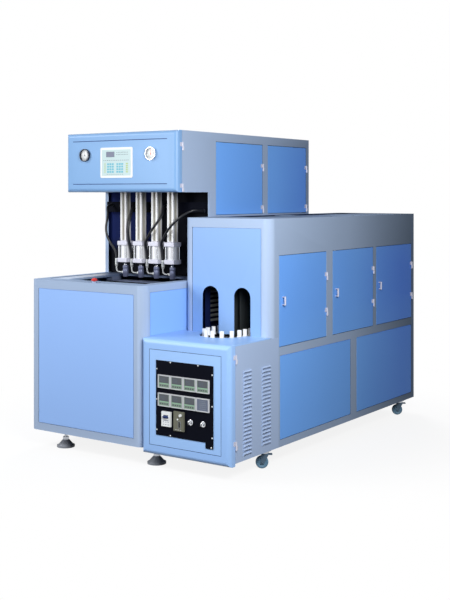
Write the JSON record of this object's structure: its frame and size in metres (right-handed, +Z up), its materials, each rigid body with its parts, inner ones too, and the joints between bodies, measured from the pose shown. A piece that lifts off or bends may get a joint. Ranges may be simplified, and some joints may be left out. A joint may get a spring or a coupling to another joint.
{
  "type": "blow moulding machine",
  "caption": "Bottle blow moulding machine: cabinet with an overhanging header and blow stations above a mould pit, beside a long infra-red preform heater with an arched oven front",
  "frame": {"origin": "the middle of the whole machine's footprint, on the floor", "axes": "+Z up, +Y from the fronts to the rear, +X towards the heater's side"},
  "size_m": [1.572, 2.416, 1.989],
  "materials": {
    "frame_paint": "satin",
    "panel_paint": "satin",
    "pale_paint": "satin",
    "inner_paint": "satin",
    "steel": "brushed",
    "aluminium": "brushed",
    "dark_steel": "satin",
    "black_plastic": "matte",
    "white_plastic": "gloss",
    "keypad": "gloss",
    "red_plastic": "gloss",
    "hose": "matte",
    "lamp_glass": "gloss",
    "tyre": "matte",
    "foot_rubber": "matte"
  },
  "bodies": {
    "machine": {"base_frame": "frame_paint", "base_front_panel": "panel_paint", "base_cover_panels": "panel_paint", "table_plate": "steel", "tower_shell": "frame_paint", "tower_fixed_panels": "panel_paint", "station_back_wall": "inner_paint", "stretch_cylinders": "aluminium", "cylinder_beam": "dark_steel", "seal_cylinders": "aluminium", "air_hoses": "hose", "air_manifold": "inner_paint", "clamp_frame": "dark_steel", "neck_plate": "steel", "heater_shell": "frame_paint", "heater_front_panel": "panel_paint", "heater_fixed_panels": "panel_paint", "vent_grilles": "black_plastic", "control_cabinet": "pale_paint", "heater_table": "panel_paint", "mandrel_chain": "white_plastic", "chain_track": "steel", "drive_motor": "dark_steel", "lamps": "lamp_glass", "oven_reflectors": "aluminium", "door_hinges": "steel", "feet_and_caster_plates": "foot_rubber"},
    "header_door": {"header_door": "panel_paint", "gauge_cases": "steel", "keypad_panel": "keypad"},
    "gauge_needle_left": {"gauge_needle_left": "black_plastic"},
    "gauge_needle_right": {"gauge_needle_right": "black_plastic"},
    "control_door": {"control_door": "pale_paint", "control_plate": "black_plastic", "panel_instruments": "white_plastic"},
    "breaker_toggle": {"breaker_toggle": "black_plastic"},
    "regulator_knob": {"regulator_knob": "white_plastic"},
    "selector_knob_left": {"selector_knob_left": "black_plastic"},
    "selector_knob_right": {"selector_knob_right": "black_plastic"},
    "oven_door_front": {"oven_door_front": "panel_paint"},
    "oven_door_middle": {"oven_door_middle": "panel_paint"},
    "oven_door_rear": {"oven_door_rear": "panel_paint"},
    "tower_door_front": {"tower_door_front": "panel_paint"},
    "tower_door_rear": {"tower_door_rear": "panel_paint"},
    "stop_button": {"stop_button": "red_plastic"},
    "nozzles": {"blow_nozzles": "dark_steel", "nozzle_elbows": "steel"},
    "stretch_rods": {"stretch_rods": "steel"},
    "mould_front": {"mould_half_front": "aluminium"},
    "mould_rear": {"mould_half_rear": "aluminium"},
    "drive_sprocket": {"drive_sprocket": "dark_steel"},
    "idle_sprocket": {"idle_sprocket": "dark_steel"},
    "caster_fork_1": {"caster_fork_1": "steel"},
    "caster_wheel_1": {"caster_wheel_1": "tyre"},
    "caster_fork_2": {"caster_fork_2": "steel"},
    "caster_wheel_2": {"caster_wheel_2": "tyre"},
    "caster_fork_3": {"caster_fork_3": "steel"},
    "caster_wheel_3": {"caster_wheel_3": "tyre"},
    "caster_fork_4": {"caster_fork_4": "steel"},
    "caster_wheel_4": {"caster_wheel_4": "tyre"}
  },
  "joints": [
    {"name": "header_door_swing", "type": "hinge", "parent": "machine", "child": "header_door", "pos_m": [0.1393, -0.7835, 1.761], "axis": [0, 0, 1], "range_deg": [0, 100]},
    {"name": "control_door_swing", "type": "hinge", "parent": "machine", "child": "control_door", "pos_m": [0.7693, -1.1255, 0.439], "axis": [0, 0, 1], "range_deg": [0, 100]},
    {"name": "oven_door_front_swing", "type": "hinge", "parent": "machine", "child": "oven_door_front", "pos_m": [0.7693, -0.1005, 0.9625], "axis": [0, 0, 1], "range_deg": [0, 100]},
    {"name": "oven_door_middle_swing", "type": "hinge", "parent": "machine", "child": "oven_door_middle", "pos_m": [0.7693, 0.5485, 0.9625], "axis": [0, 0, 1], "range_deg": [0, 100]},
    {"name": "oven_door_rear_swing", "type": "hinge", "parent": "machine", "child": "oven_door_rear", "pos_m": [0.7693, 1.1635, 0.9625], "axis": [0, 0, 1], "range_deg": [0, 100]},
    {"name": "tower_door_front_swing", "type": "hinge", "parent": "machine", "child": "tower_door_front", "pos_m": [0.1393, 0.1295, 1.695], "axis": [0, 0, 1], "range_deg": [0, 100]},
    {"name": "tower_door_rear_swing", "type": "hinge", "parent": "machine", "child": "tower_door_rear", "pos_m": [0.1393, 0.7175, 1.695], "axis": [0, 0, 1], "range_deg": [0, 100]},
    {"name": "gauge_needle_left_turn", "type": "hinge", "parent": "header_door", "child": "gauge_needle_left", "pos_m": [-0.618, -0.8383, 1.847], "axis": [0, 1, 0], "range_deg": [-135, 135]},
    {"name": "gauge_needle_right_turn", "type": "hinge", "parent": "header_door", "child": "gauge_needle_right", "pos_m": [-0.069, -0.8383, 1.847], "axis": [0, 1, 0], "range_deg": [-135, 135]},
    {"name": "stop_button_press", "type": "slide", "parent": "machine", "child": "stop_button", "axis": [0, 0, -1], "range_m": [0, 0.005], "stiffness_N_per_m": 1500},
    {"name": "nozzles_lower", "type": "slide", "parent": "machine", "child": "nozzles", "axis": [0, 0, -1], "range_m": [0, 0.02], "deforming": ["air_hoses"]},
    {"name": "stretch_rods_lower", "type": "slide", "parent": "machine", "child": "stretch_rods", "axis": [0, 0, -1], "range_m": [0, 0.25]},
    {"name": "mould_front_open", "type": "slide", "parent": "machine", "child": "mould_front", "axis": [0, -1, 0], "range_m": [0, 0.06]},
    {"name": "mould_rear_open", "type": "slide", "parent": "machine", "child": "mould_rear", "axis": [0, 1, 0], "range_m": [0, 0.06]},
    {"name": "drive_sprocket_turn", "type": "hinge", "parent": "machine", "child": "drive_sprocket", "pos_m": [0.4525, 0.98359, 0.73], "axis": [0, 0, 1], "continuous": true},
    {"name": "idle_sprocket_turn", "type": "hinge", "parent": "machine", "child": "idle_sprocket", "pos_m": [0.4525, -0.7945, 0.73], "axis": [0, 0, 1], "continuous": true},
    {"name": "breaker_toggle_flip", "type": "hinge", "parent": "control_door", "child": "breaker_toggle", "pos_m": [0.331, -1.1925, 0.3224], "axis": [1, 0, 0], "range_deg": [-28, 28]},
    {"name": "regulator_knob_turn", "type": "hinge", "parent": "control_door", "child": "regulator_knob", "pos_m": [0.4368, -1.1955, 0.3423], "axis": [0, 1, 0], "range_deg": [-150, 150]},
    {"name": "selector_left_turn", "type": "hinge", "parent": "control_door", "child": "selector_knob_left", "pos_m": [0.501, -1.1885, 0.31], "axis": [0, 1, 0], "range_deg": [-45, 45]},
    {"name": "selector_right_turn", "type": "hinge", "parent": "control_door", "child": "selector_knob_right", "pos_m": [0.588, -1.1885, 0.31], "axis": [0, 1, 0], "range_deg": [-45, 45]},
    {"name": "caster_swivel_1", "type": "hinge", "parent": "machine", "child": "caster_fork_1", "pos_m": [0.737, -0.7795, 0.09], "axis": [0, 0, 1], "continuous": true},
    {"name": "caster_roll_1", "type": "hinge", "parent": "caster_fork_1", "child": "caster_wheel_1", "pos_m": [0.72225, -0.78982, 0.0375], "axis": [0.5736, -0.8192, 0], "continuous": true},
    {"name": "caster_swivel_2", "type": "hinge", "parent": "machine", "child": "caster_fork_2", "pos_m": [0.737, 1.0225, 0.09], "axis": [0, 0, 1], "continuous": true},
    {"name": "caster_roll_2", "type": "hinge", "parent": "caster_fork_2", "child": "caster_wheel_2", "pos_m": [0.72225, 1.01218, 0.0375], "axis": [0.5736, -0.8192, 0], "continuous": true},
    {"name": "caster_swivel_3", "type": "hinge", "parent": "machine", "child": "caster_fork_3", "pos_m": [0.165, -0.7795, 0.09], "axis": [0, 0, 1], "continuous": true},
    {"name": "caster_roll_3", "type": "hinge", "parent": "caster_fork_3", "child": "caster_wheel_3", "pos_m": [0.15025, -0.78982, 0.0375], "axis": [0.5736, -0.8192, 0], "continuous": true},
    {"name": "caster_swivel_4", "type": "hinge", "parent": "machine", "child": "caster_fork_4", "pos_m": [0.165, 1.0225, 0.09], "axis": [0, 0, 1], "continuous": true},
    {"name": "caster_roll_4", "type": "hinge", "parent": "caster_fork_4", "child": "caster_wheel_4", "pos_m": [0.15025, 1.01218, 0.0375], "axis": [0.5736, -0.8192, 0], "continuous": true}
  ],
  "couplings": [
    {"joint": "mould_rear_open", "follows": "mould_front_open", "ratio": 1},
    {"joint": "idle_sprocket_turn", "follows": "drive_sprocket_turn", "ratio": 1}
  ]
}
